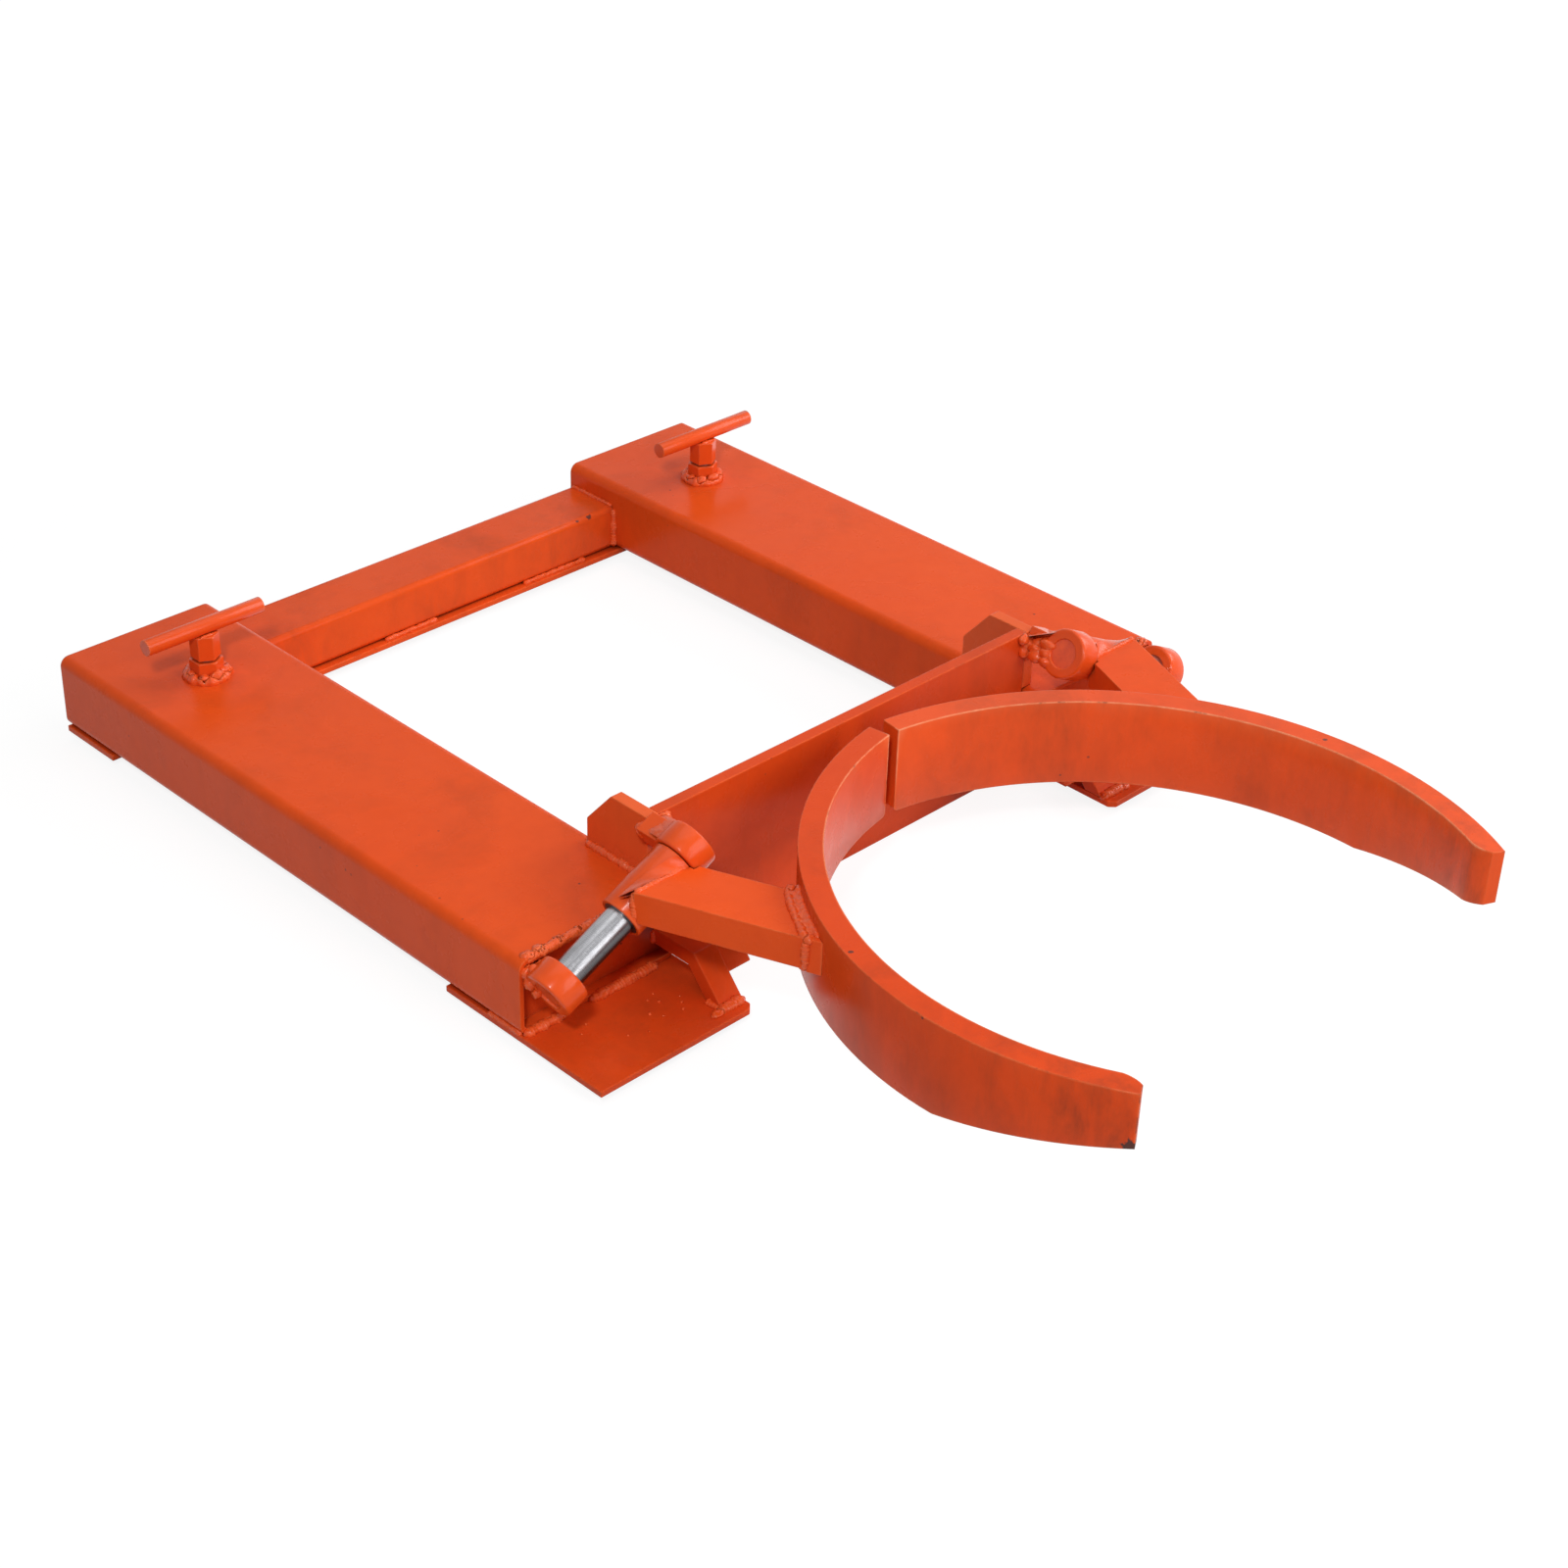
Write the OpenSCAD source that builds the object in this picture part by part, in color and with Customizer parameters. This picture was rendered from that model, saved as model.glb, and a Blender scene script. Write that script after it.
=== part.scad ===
// Drum lifting clamp that rides on the two forks of a lift truck.
// Two fork tubes, joined by a rear beam and a front cross plate, carry two curved
// jaws on inclined hinge pins. Each jaw slides along its pin and swings about it.
// X runs across the clamp, -Y points at the drum, +Y at the truck and +Z is up.
// The right side is at +X. The origin is in the middle of the cross plate's underside,
// which is the lowest face. Pieces are described from the cross plate's front face and
// the base plates' underside, and the module placed() moves them to the origin.

/* [Fork tubes] */
// Width of each fork tube
tube_w = 177.8; // [150:0.1:220]
// Height of each fork tube
tube_h = 76.2; // [66:0.1:90]
// Wall thickness of the fork tubes
tube_wall = 4.8; // [3:0.1:8]
// Outside corner radius of the fork tubes
tube_corner = 9.5; // [8.5:0.1:14]
// Length of the fork tubes
tube_len = 695; // [560:1:900]
// Clear distance between the two fork tubes
tube_gap = 485.7; // [460:0.1:560]
// How far the tubes reach ahead of the cross plate's front face
tube_reach = 21.5; // [16:0.1:30]
// Thickness of the plates that close the front of the tubes
end_t = 6.4; // [4:0.1:10]
// How far those plates sit inside the tubes
end_recess = 12; // [6:0.1:20]

/* [Plates under the tubes] */
// Thickness of the base plates and of the rear strap
base_t = 6.35; // [4:0.05:10]
// How far the base plates run out ahead of the tubes
base_front = 103; // [94:0.5:130]
// How far the base plates run back under the tubes
base_back = 100.5; // [60:0.5:160]
// Corner cut at the inner front corner of the base plates
base_cut = 6; // [2:0.5:12]
// Width of the rear strap
strap_w = 79; // [60:0.5:110]

/* [Rear beam] */
// Depth of the rear beam from front to back
beam_d = 72; // [50:0.1:100]
// Height of the rear beam
beam_h = 50.8; // [40:0.1:60]
// Wall thickness of the rear beam
beam_wall = 4.8; // [3:0.1:6]
// Outside corner radius of the rear beam
beam_corner = 6.4; // [6:0.1:8]

/* [Cross plate and ears] */
// Thickness of the cross plate
cross_t = 12.7; // [9:0.1:20]
// Height of the cross plate's top and of the ears above the base plates' underside
cross_top = 145.5; // [130:0.5:160]
// How far the cross plate reaches below the base plates
cross_drop = 10; // [0:0.5:14]
// Thickness of the ears that stand on the tubes
ear_t = 12.7; // [8:0.1:16]
// Length of the ears from front to back
ear_len = 80; // [60:0.5:110]
// Length of the cut at the ears' top rear corner
ear_cut_len = 32; // [10:0.5:45]
// Depth of the cut at the ears' top rear corner
ear_cut_h = 37; // [10:0.5:40]

/* [Braces] */
// Thickness of the braces in front of the tubes
brace_t = 25.4; // [8:0.1:30]
// How far each brace reaches ahead of its tube
brace_len = 88; // [70:0.5:92]
// Length of the flat top of each brace
brace_flat = 52; // [36:0.5:60]
// Height of the flat top above the base plates' underside
brace_top = 47; // [40:0.5:60]
// Thickness of the brace below its flat top and behind its slope
brace_bar = 15; // [10:0.5:18]
// How far the tab on each brace reaches towards the middle
tab_reach = 30; // [10:0.5:50]
// Height of the tab's lower edge above the base plates' underside
tab_low = 21.5; // [16:0.5:26]
// Height of the tab from its lower to its upper edge
tab_h = 19; // [10:0.5:19]
// How far the tab sits behind the slope of the brace, measured level
tab_inset = 8; // [4:0.5:10]

/* [Hinges] */
// Diameter of the hinge pins
pin_d = 28.6; // [22:0.1:32]
// Slope of the hinge pins, down towards the outside
pin_tilt = 26.4; // [22:0.1:28]
// Height of the pins' inner ends above the base plates' underside
pin_top = 141; // [136:0.5:148]
// How far the pins' ends sit inside the rings
pin_recess = 2; // [1:0.1:5]
// Outside diameter of the rings that hold the pins
ring_od = 49; // [44:0.1:56]
// Length of each ring
ring_len = 25.4; // [18:0.1:30]
// Bevel on the rims of the rings
ring_bevel = 1.6; // [0.5:0.1:3]
// Outside diameter of the hinge sleeves
sleeve_od = 42.2; // [40:0.1:43]
// Bore of the hinge sleeves
sleeve_bore = 35; // [34:0.1:36.4]
// Length of the hinge sleeves
sleeve_len = 70; // [62:0.1:76]
// How far the outer rings' outer ends stop short of the tubes' outer sides
ring_inset = 9.1; // [4:0.1:20]
// Radial clearance of the pin in the bush and of the bush in the sleeve
run_fit = 0.05; // [0.02:0.01:0.1]
// End clearance between the sleeve and the inner ring
end_gap = 0.5; // [0.3:0.1:2]
// Clearance between the inner ring and the arm bar beside it
ring_clear = 1.5; // [1:0.1:4]

/* [Arms] */
// Width of the arm bars
arm_w = 60; // [46:0.1:64]
// Height of the arm bars
arm_h = 31; // [25:0.1:34]
// Height of the arm bars' underside above the base plates' underside
arm_low = 103; // [98:0.5:106]
// Angle at which the arm bars turn in towards the middle
arm_turn = 22.3; // [16:0.1:26]
// Depth to which the arm bars are coped over the sleeves
arm_cope = 4; // [2:0.1:8]
// Thickness of the pads between arms and jaws
pad_t = 10; // [6:0.1:16]
// Margin of the pads around the ends of the arm bars
pad_margin = 1.5; // [0.5:0.1:4]

/* [Jaws] */
// Inside radius of the jaws
jaw_r = 316.3; // [298:0.1:330]
// Thickness of the jaws
jaw_t = 22.2; // [16:0.1:28]
// Height of the jaws
jaw_h = 87.7; // [76:0.1:96]
// Height of the jaws' underside above the base plates' underside
jaw_low = 64.8; // [60:0.1:70]
// Distance from the cross plate's face to the middle of the jaws' curve
jaw_out = 363.7; // [352:0.1:390]
// How far each jaw's curve is centred past the middle of the clamp
jaw_past = 42.3; // [28:0.1:46]
// Gap between the two jaws' rear ends
jaw_gap = 12; // [4:0.1:20]
// Angle of the jaws' tips, measured forward from the sideways direction
tip_angle = 31.3; // [20:0.1:42]
// Height of the jaws at their tips
tip_h = 53; // [30:0.1:70]
// Distance ahead of the jaws' middle at which the underside starts to rise
taper_start = 13; // [0:0.5:60]
// Radius on the inner corner of the jaws' tips
tip_round = 30; // [26:0.5:36]
// Length of that rounding along the jaw
tip_run = 24; // [10:0.5:25]
// Radius on the lower corner of the jaws' rear ends
end_round = 6; // [2:0.5:12]

/* [Clamp screws] */
// Distance of the clamp screws from the tubes' rear ends
screw_back = 122; // [100:1:180]
// Diameter of the clamp screws
screw_d = 19; // [14:0.1:22]
// How far the screws reach into the tubes
screw_in = 28; // [15:0.5:35]
// Width across the flats of the nuts
nut_af = 28.6; // [28:0.1:36]
// Height of the nuts
nut_h = 19.5; // [12:0.5:24]
// Width across the flats of the screw heads
head_af = 25.4; // [24:0.1:36]
// Height of the screw heads
head_h = 25.4; // [14:0.1:30]
// Gap between nut and screw head
head_gap = 2.2; // [1.6:0.1:6]
// Diameter of the handle bars
tee_d = 16; // [12:0.1:20]
// Length of the handle bars
tee_len = 133; // [100:1:180]
// Depth to which the handle bars are let into the screw heads
tee_seat = 1.5; // [0.5:0.1:3]

/* [Hidden] */
left = -1;
right = 1;
$fn = 72;
// Sides of the large circles of the jaws
jaw_sides = 144;
// Overlap that keeps a cut clear of the face it starts from
cut = 1;
// Clearance of a piece that is welded in place
weld_fit = 0.05;
// How far the roundings of a jaw stand past the faces they end in, for a clean edge
round_past = 0.4;

// Places across the clamp
tube_in = tube_gap / 2;
tube_mid = tube_in + tube_w / 2;
tube_out = tube_in + tube_w;

// Heights
tube_low = base_t;
tube_top = base_t + tube_h;
tube_floor = tube_low + tube_wall;
tube_ceiling = tube_top - tube_wall;

// Places along the clamp
tube_front = -tube_reach;
tube_rear = tube_front + tube_len;
end_front = tube_front + end_recess;
screw_y = tube_rear - screw_back;

// The pin's axis touches the rings to the tubes' front
pin_y = tube_front - ring_od / 2;
pin_len = (tube_w - ring_inset) / cos(pin_tilt);
sleeve_start = ring_len + end_gap;
sleeve_mid = sleeve_start + sleeve_len / 2;
outer_start = pin_len - ring_len;

// The slope of the braces, in level distance per height, and the bar's level thickness
brace_front = tube_front - brace_len;
brace_knee = tube_front - brace_flat;
brace_slope = (brace_len - brace_flat) / (brace_top - base_t);
brace_run = brace_bar * sqrt(1 + brace_slope * brace_slope);

// Arms and jaws
arm_x = tube_in + sleeve_mid * cos(pin_tilt);
arm_rear = pin_y - sleeve_od / 2 + arm_cope;
jaw_outer = jaw_r + jaw_t;
far = 2 * jaw_outer;

// The jaws' rear ends are square to the curve and start at their inner corner
rear_in = jaw_past + jaw_gap / 2;
rear_turn = asin(rear_in / jaw_r);
rear_up = sqrt(jaw_r * jaw_r - rear_in * rear_in);

steel = [0.62, 0.63, 0.65];
dark_iron = [0.16, 0.15, 0.15];
orange = [0.86, 0.29, 0.11];

// Moves a piece from the faces it is described from to the clamp's origin
module placed() {
    translate([0, -cross_t / 2, cross_drop]) children();
}

// Draws what is described for the right side on the given side
module on(side) {
    placed() mirror([side < 0 ? 1 : 0, 0, 0]) children();
}

// Rounded rectangle, centred
module rounded(w, h, r) {
    square([w - 2 * r, h], center = true);
    square([w, h - 2 * r], center = true);
    for (x = [-1, 1], y = [-1, 1])
        translate([x * (w / 2 - r), y * (h / 2 - r)]) circle(r);
}

// Runs a profile in X and Z along Y, from y0 to y1
module along_y(y0, y1) {
    translate([0, y1, 0]) rotate([90, 0, 0]) linear_extrude(y1 - y0) children();
}

// Runs a profile in Y and Z along X, from x0 to x1
module along_x(x0, x1) {
    translate([x0, 0, 0]) rotate([90, 0, 90]) linear_extrude(x1 - x0) children();
}

// Box between two corners
module block(low, high) {
    translate(low) cube(high - low);
}

// Turns +Z onto the right pin's axis, with the origin a distance along the pin
// from its inner end. Depths along the pin are then negative Z.
module on_pin(depth = 0) {
    translate([tube_in + depth * cos(pin_tilt), pin_y, pin_top - depth * sin(pin_tilt)])
        rotate([0, pin_tilt - 90, 0]) children();
}

// Tube of the given diameters and length that runs outward along the pin
module pin_tube(outer_d, inner_d, length) {
    translate([0, 0, -length]) difference() {
        cylinder(d = outer_d, h = length);
        translate([0, 0, -cut]) cylinder(d = inner_d, h = length + 2 * cut);
    }
}

module fork_tube(side) {
    color(orange) on(side) difference() {
        translate([tube_mid, 0, tube_low + tube_h / 2]) along_y(tube_front, tube_rear)
            difference() {
                rounded(tube_w, tube_h, tube_corner);
                rounded(tube_w - 2 * tube_wall, tube_h - 2 * tube_wall,
                    tube_corner - tube_wall);
            }
        translate([tube_mid, screw_y, tube_ceiling - cut])
            cylinder(d = screw_d + 2 * run_fit, h = tube_wall + 2 * cut);
    }
}

module end_plate(side) {
    inner_w = tube_w - 2 * tube_wall;
    inner_h = tube_h - 2 * tube_wall;
    color(orange) on(side)
        translate([tube_mid, 0, tube_low + tube_h / 2]) along_y(end_front, end_front + end_t)
            rounded(inner_w, inner_h, tube_corner - tube_wall);
}

module base_plate(side) {
    front = tube_front - base_front;
    color(orange) on(side) linear_extrude(base_t) polygon([
        [tube_in + base_cut, front], [tube_out, front],
        [tube_out, tube_front + base_back], [tube_in, tube_front + base_back],
        [tube_in, front + base_cut]
    ]);
}

module rear_strap() {
    color(orange) placed()
        block([-tube_out, tube_rear - strap_w, 0], [tube_out, tube_rear, base_t]);
}

module rear_beam() {
    color(orange) placed() translate([0, tube_rear - beam_d / 2, base_t + beam_h / 2])
        along_x(-tube_in, tube_in) difference() {
            rounded(beam_d, beam_h, beam_corner);
            rounded(beam_d - 2 * beam_wall, beam_h - 2 * beam_wall, beam_corner - beam_wall);
        }
}

module front_cross_plate() {
    color(orange) placed()
        block([-tube_in, 0, -cross_drop], [tube_in, cross_t, cross_top]);
}

module ear_plate(side) {
    color(orange) on(side) along_x(tube_in, tube_in + ear_t) polygon([
        [0, tube_top], [ear_len, tube_top], [ear_len, cross_top - ear_cut_h],
        [ear_len - ear_cut_len, cross_top], [0, cross_top]
    ]);
}

// The brace is a bar that leaves the tube level and then slopes down to the base plate
module brace(side) {
    inner_top = brace_top - brace_bar;
    inner_knee = brace_knee + brace_run - brace_slope * brace_bar;
    color(orange) on(side) along_x(tube_in, tube_in + brace_t) polygon([
        [tube_front, brace_top], [brace_knee, brace_top], [brace_front, base_t],
        [brace_front + brace_run, base_t], [inner_knee, inner_top], [tube_front, inner_top]
    ]);
}

// The tab lies along the slope of the brace, a little behind its face
module brace_tab(side) {
    low_y = brace_front + (tab_low - base_t) * brace_slope + tab_inset;
    high_y = low_y + tab_h * brace_slope;
    back = brace_run - tab_inset;
    color(orange) on(side) along_x(tube_in - tab_reach, tube_in) polygon([
        [low_y, tab_low], [low_y + back, tab_low],
        [high_y + back, tab_low + tab_h], [high_y, tab_low + tab_h]
    ]);
}

module ring_profile() {
    inner = pin_d / 2 + weld_fit;
    outer = ring_od / 2;
    polygon([
        [inner, 0], [outer - ring_bevel, 0], [outer, ring_bevel],
        [outer, ring_len - ring_bevel], [outer - ring_bevel, ring_len], [inner, ring_len]
    ]);
}

// Ring around the pin, with the weld that ties it to the face behind it at back_y
module pin_ring(depth, back_y, weld_low, weld_high) {
    on_pin(depth) translate([0, 0, -ring_len]) {
        rotate_extrude() ring_profile();
        difference() {
            block([weld_low, 0, ring_bevel], [weld_high, back_y - pin_y, ring_len - ring_bevel]);
            translate([0, 0, -cut]) cylinder(d = ring_od - 2 * ring_bevel, h = ring_len + 2 * cut);
        }
    }
}

module inner_ring(side) {
    color(orange) on(side) pin_ring(0, 0, -6, 12);
}

module outer_ring(side) {
    color(orange) on(side) pin_ring(outer_start, end_front, -10, 8);
}

module hinge_pin(side) {
    color(steel) on(side) on_pin(pin_recess)
        translate([0, 0, 2 * pin_recess - pin_len]) cylinder(d = pin_d, h = pin_len - 2 * pin_recess);
}

module bush(side) {
    color(dark_iron) on(side) on_pin(sleeve_start)
        pin_tube(sleeve_bore - 2 * run_fit, pin_d + 2 * run_fit, sleeve_len);
}

module sleeve(side) {
    color(orange) on(side) on_pin(sleeve_start) pin_tube(sleeve_od, sleeve_bore, sleeve_len);
}

// Strip in which the arm lies, seen from above, wider by the given margin
module arm_strip(margin = 0) {
    translate([arm_x, arm_rear]) rotate(-arm_turn)
        translate([-arm_w / 2 - margin, -far]) square([arm_w + 2 * margin, 2 * far]);
}

module arm_bar(side) {
    color(orange) on(side) difference() {
        translate([0, 0, arm_low]) linear_extrude(arm_h) difference() {
            arm_strip();
            translate([-far, arm_rear]) square([2 * far + arm_x, far * 2]);
            translate([-jaw_past, -jaw_out]) circle(jaw_outer + pad_t, $fn = jaw_sides);
            translate([-2 * far, -jaw_out - 2 * far]) square([4 * far, 2 * far]);
        }
        on_pin(sleeve_start - cut) translate([0, 0, -sleeve_len - 2 * cut])
            cylinder(d = sleeve_od, h = sleeve_len + 2 * cut);
        on_pin(-cut) translate([0, 0, -sleeve_start - cut])
            cylinder(d = ring_od + 2 * ring_clear, h = sleeve_start + cut);
    }
}

module jaw_pad(side) {
    color(orange) on(side) translate([0, 0, arm_low - pad_margin])
        linear_extrude(arm_h + 2 * pad_margin) intersection() {
            translate([-jaw_past, -jaw_out]) difference() {
                circle(jaw_outer + pad_t, $fn = jaw_sides);
                circle(jaw_outer, $fn = jaw_sides);
            }
            arm_strip(pad_margin);
            translate([0, -jaw_out]) square([far, far]);
        }
}

// Outline of the right jaw seen from above, about the middle of its curve
module jaw_outline() {
    reach = jaw_r + tip_round - round_past;
    round_x = sqrt(reach * reach - tip_run * tip_run);
    difference() {
        intersection() {
            difference() {
                circle(jaw_outer, $fn = jaw_sides);
                circle(jaw_r, $fn = jaw_sides);
            }
            polygon([
                [0, 0], [far, -far * tan(tip_angle)], [far, far],
                [far * tan(rear_turn), far]
            ]);
        }
        rotate(-tip_angle) translate([round_x, tip_run]) difference() {
            translate([-tip_round - cut, -tip_run - cut])
                square([tip_round + cut, tip_run + cut]);
            circle(tip_round);
        }
    }
}

module jaw(side) {
    middle = -jaw_out;
    tip_y = middle - jaw_outer * sin(tip_angle);
    taper_y = middle - taper_start;
    rise = (jaw_h - tip_h) / (taper_y - tip_y);
    below = jaw_low - cut;
    end_middle = end_round - round_past;
    color(orange) on(side) difference() {
        translate([-jaw_past, middle, jaw_low]) linear_extrude(jaw_h) jaw_outline();
        along_x(0, far) polygon([
            [taper_y, jaw_low], [taper_y - far, jaw_low + far * rise],
            [taper_y - far, below], [taper_y, below]
        ]);
        translate([jaw_gap / 2, middle + rear_up]) rotate(-rear_turn)
            along_y(-jaw_t, 2 * jaw_t) difference() {
                translate([-cut, below]) square(end_round + cut);
                translate([end_middle, jaw_low + end_middle]) circle(end_round);
            }
    }
}

// Hexagonal prism with its upper corners bevelled and two flats facing along X
module hex_body(across, height) {
    corner = across / cos(30);
    bevel = (corner - across) / 2;
    intersection() {
        rotate(30) cylinder(d = corner, h = height, $fn = 6);
        rotate_extrude() polygon([
            [0, 0], [corner / 2, 0], [corner / 2, height - bevel * tan(30)],
            [corner / 2 - bevel, height], [0, height]
        ]);
    }
}

module weld_nut(side) {
    color(orange) on(side) translate([tube_mid, screw_y, tube_top]) difference() {
        hex_body(nut_af, nut_h);
        translate([0, 0, -cut]) cylinder(d = screw_d + 2 * run_fit, h = nut_h + 2 * cut);
    }
}

module clamp_screw(side) {
    head_low = tube_top + nut_h + head_gap;
    tip = tube_ceiling - screw_in;
    color(steel) on(side) translate([tube_mid, screw_y, tip])
        cylinder(d = screw_d, h = head_low - tip);
}

module screw_head(side) {
    color(orange) on(side) translate([tube_mid, screw_y, tube_top + nut_h + head_gap])
        difference() {
            hex_body(head_af, head_h);
            translate([0, 0, head_h + tee_d / 2 - tee_seat]) rotate([0, 90, 0])
                cylinder(d = tee_d, h = 2 * head_af, center = true);
        }
}

module tee_bar(side) {
    bar_z = tube_top + nut_h + head_gap + head_h + tee_d / 2 - tee_seat;
    color(orange) on(side) translate([tube_mid, screw_y, bar_z]) rotate([0, 90, 0])
        cylinder(d = tee_d, h = tee_len, center = true);
}

fork_tube(left);  // left_fork_tube
fork_tube(right);  // right_fork_tube
end_plate(left);  // left_end_plate
end_plate(right);  // right_end_plate
base_plate(left);  // left_base_plate
base_plate(right);  // right_base_plate
brace(left);  // left_brace
brace(right);  // right_brace
brace_tab(left);  // left_brace_tab
brace_tab(right);  // right_brace_tab
ear_plate(left);  // left_ear_plate
ear_plate(right);  // right_ear_plate
front_cross_plate();
rear_beam();
rear_strap();
weld_nut(left);  // left_weld_nut
weld_nut(right);  // right_weld_nut
outer_ring(left);  // left_outer_ring
outer_ring(right);  // right_outer_ring
inner_ring(left);  // left_inner_ring
inner_ring(right);  // right_inner_ring
hinge_pin(left);  // left_hinge_pin
hinge_pin(right);  // right_hinge_pin
bush(left);  // left_bush
bush(right);  // right_bush
sleeve(left);  // left_sleeve
sleeve(right);  // right_sleeve
arm_bar(left);  // left_arm_bar
arm_bar(right);  // right_arm_bar
jaw_pad(left);  // left_jaw_pad
jaw_pad(right);  // right_jaw_pad
jaw(left);  // left_jaw
jaw(right);  // right_jaw
clamp_screw(left);  // left_clamp_screw
clamp_screw(right);  // right_clamp_screw
screw_head(left);  // left_screw_head
screw_head(right);  // right_screw_head
tee_bar(left);  // left_tee_bar
tee_bar(right);  // right_tee_bar
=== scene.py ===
import math

import bpy
from mathutils import Euler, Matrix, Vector, noise


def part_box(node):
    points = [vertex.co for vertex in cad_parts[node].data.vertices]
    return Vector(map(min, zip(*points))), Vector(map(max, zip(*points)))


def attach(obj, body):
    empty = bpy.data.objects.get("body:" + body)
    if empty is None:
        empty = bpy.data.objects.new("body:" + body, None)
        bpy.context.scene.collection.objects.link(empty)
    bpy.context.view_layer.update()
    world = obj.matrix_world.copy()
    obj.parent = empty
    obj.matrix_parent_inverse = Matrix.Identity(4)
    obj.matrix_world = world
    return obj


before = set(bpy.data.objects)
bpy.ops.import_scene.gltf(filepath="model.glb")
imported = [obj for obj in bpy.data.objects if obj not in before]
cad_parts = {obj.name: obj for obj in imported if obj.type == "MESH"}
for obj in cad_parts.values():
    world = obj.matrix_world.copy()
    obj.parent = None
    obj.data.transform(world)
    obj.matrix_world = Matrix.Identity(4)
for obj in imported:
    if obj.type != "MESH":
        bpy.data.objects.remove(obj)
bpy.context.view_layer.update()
MM = 0.001


# ---------------------------------------------------------------- camera

# fitted to the corners of the tubes, the beam and the plates in the photograph
CAMERA_AT = (-1.64381, -1.51754, 1.47422)
CAMERA_TURN = (58.0145, -1.6881, -44.7760)
LENS = 64.74
SENSOR = 36.0

cam_data = bpy.data.cameras.new("photo_camera")
cam_data.sensor_fit = "HORIZONTAL"
cam_data.sensor_width = SENSOR
cam_data.lens = LENS
cam_data.clip_end = 50
cam = bpy.data.objects.new("photo_camera", cam_data)
bpy.context.collection.objects.link(cam)
cam.location = CAMERA_AT
cam.rotation_euler = Euler([math.radians(a) for a in CAMERA_TURN], "XYZ")
bpy.context.scene.camera = cam


# ---------------------------------------------------------------- materials

class Net:
    """A small builder for one material's or the world's nodes.

    In node(), an input is given by its name with _ for a space, or as i0, i1 by its number."""

    def __init__(self, owner):
        owner.use_nodes = True
        self.owner, self.tree = owner, owner.node_tree
        self.tree.nodes.clear()
        if isinstance(owner, bpy.types.Material):
            self.place = self.node("TexCoord").outputs["Object"]

    def node(self, kind, settings=None, **inputs):
        made = self.tree.nodes.new("ShaderNode" + kind)
        for key, value in (settings or {}).items():
            setattr(made, key, value)
        for key, value in inputs.items():
            at = int(key[1:]) if key[1:].isdigit() else key.replace("_", " ")
            self.plug(made.inputs[at], value)
        return made

    def plug(self, socket, value):
        if isinstance(value, bpy.types.NodeSocket):
            self.tree.links.new(value, socket)
        else:
            socket.default_value = value

    def noise(self, scale, detail=4.0, rough=0.55, bend=0.0, place=None):
        made = self.node("TexNoise", Scale=scale, Detail=detail, Roughness=rough,
                         Distortion=bend, Vector=place or self.place)
        return made.outputs[0]

    def span(self, value, low, high, to_low=0.0, to_high=1.0):
        made = self.node("MapRange", {"clamp": True}, Value=value, From_Min=low,
                         From_Max=high, To_Min=to_low, To_Max=to_high)
        return made.outputs[0]

    def math(self, how, a, b=0.0):
        return self.node("Math", {"operation": how, "use_clamp": False}, i0=a, i1=b).outputs[0]

    def vector(self, how, a, b, out=0):
        return self.node("VectorMath", {"operation": how}, i0=a, i1=b).outputs[out]

    def dot(self, a, b):
        return self.vector("DOT_PRODUCT", a, b, "Value")

    def mix(self, fac, a, b):
        return self.node("MixRGB", Fac=fac, Color1=a, Color2=b).outputs[0]

    def near(self, point, radius, soft):
        """1 close to a point given in mm, falling to 0 at the radius in mm."""
        away = self.vector("DISTANCE", self.place, [c * MM for c in point], "Value")
        return self.span(away, radius * MM, (radius - soft) * MM)

    def out(self, shader, kind="OutputMaterial"):
        end = self.node(kind)
        self.tree.links.new(shader.outputs[0], end.inputs["Surface"])
        return self.owner


ORANGE = (0.80, 0.088, 0.0110, 1)
ORANGE_WARM = (0.77, 0.079, 0.0100, 1)
ORANGE_DEEP = (0.63, 0.054, 0.0080, 1)
# thin paint at the edges, also used for painted light and painted highlights
ORANGE_THIN_LIT = (0.92, 0.235, 0.0850, 1)
# a painted highlight
ORANGE_GLINT = (0.95, 0.42, 0.22, 1)
# grime, and also the colour of painted shadows
GRIME_AND_SHADE = (0.17, 0.034, 0.0140, 1)
# painted shade for the recesses
RECESS_SHADE = (0.14, 0.014, 0.006, 1)
BARE = (0.035, 0.030, 0.028, 1)
OIL = (0.06, 0.05, 0.045, 1)
# painted shade for the underside of bare steel
UNDERSIDE_SHADE = (0.030, 0.024, 0.022, 1)

SOFT_EDGE = 0.0016
WORN_EDGE = 0.0030
# how far the painted recess shade reaches
SHADE_REACH = 0.045
# within this many mm of the jaw's middle, the jaw's edges get a painted highlight
GLINT_WITHIN = 323


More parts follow.
